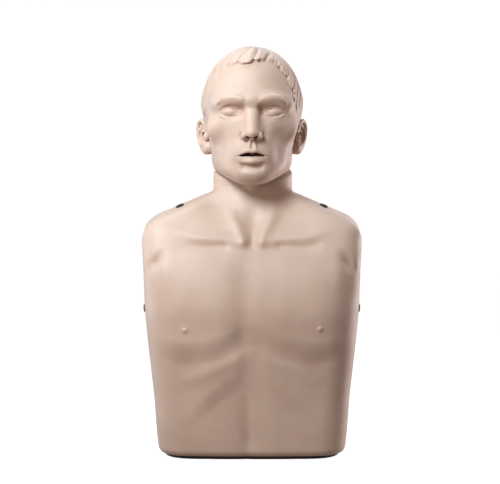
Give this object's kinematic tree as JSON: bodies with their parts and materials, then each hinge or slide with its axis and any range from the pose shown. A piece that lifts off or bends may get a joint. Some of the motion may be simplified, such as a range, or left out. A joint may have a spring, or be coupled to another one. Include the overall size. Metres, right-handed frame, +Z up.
{
  "type": "resuscitation training manikin",
  "caption": "Adult head and armless torso manikin with a closed-eye moulded face, a sprung chest for compressions and a head that tilts back.",
  "frame": {"origin": "on the floor, at the middle of the standing manikin's bounding box", "axes": "+Z up the standing manikin, the face looks along -Y, +X is the manikin's own left and the viewer's right"},
  "size_m": [0.35, 0.212, 0.6582],
  "materials": {
    "soft_vinyl": "satin",
    "hard_shell": "satin",
    "white_plastic": "satin",
    "black_plastic": "matte",
    "stud_rubber": "satin",
    "foot_rubber": "matte",
    "spring_steel": "satin",
    "screw_steel": "satin",
    "clear_film": "satin",
    "airway_silicone": "satin"
  },
  "bodies": {
    "torso": {"back_shell": "hard_shell", "front_frame": "white_plastic", "bottom_cover": "black_plastic", "chest_skin": "soft_vinyl", "foot_front_left": "foot_rubber", "foot_front_right": "foot_rubber", "foot_rear_left": "foot_rubber", "foot_rear_right": "foot_rubber", "shoulder_stud_left": "stud_rubber", "shoulder_stud_right": "stud_rubber", "side_stud_left": "stud_rubber", "side_stud_right": "stud_rubber", "case_screw_left_1": "screw_steel", "case_screw_left_2": "screw_steel", "case_screw_left_3": "screw_steel", "case_screw_right_1": "screw_steel", "case_screw_right_2": "screw_steel", "case_screw_right_3": "screw_steel", "neck_post": "white_plastic", "neck_axle": "spring_steel", "neck_washer_left": "black_plastic", "neck_washer_right": "black_plastic", "spring_base": "white_plastic", "click_leaf": "spring_steel", "airway_hose": "airway_silicone", "compression_spring": "spring_steel"},
    "chest_plate": {"chest_plate": "white_plastic", "lung_bag": "clear_film", "plunger": "black_plastic"},
    "head": {"skull_frame": "white_plastic", "face_skin": "soft_vinyl", "rear_head_shell": "hard_shell", "ear_post_left": "stud_rubber", "ear_post_right": "stud_rubber", "mouthpiece": "white_plastic", "airway_tube": "airway_silicone"},
    "jaw": {"jaw": "white_plastic"}
  },
  "joints": [
    {"name": "chest_compression", "type": "slide", "parent": "torso", "child": "chest_plate", "axis": [0, 1, 0], "range_m": [0, 0.055], "stiffness_N_per_m": 8000, "deforming": ["compression_spring", "chest_skin"]},
    {"name": "head_tilt", "type": "hinge", "parent": "torso", "child": "head", "pos_m": [0, 0.02, 0.497], "axis": [-1, 0, 0], "range_deg": [0, 30]},
    {"name": "jaw_opening", "type": "hinge", "parent": "head", "child": "jaw", "pos_m": [0, 0.012, 0.518], "axis": [1, 0, 0], "range_deg": [0, 8], "stiffness_Nm_per_rad": 2, "deforming": ["face_skin"]}
  ]
}
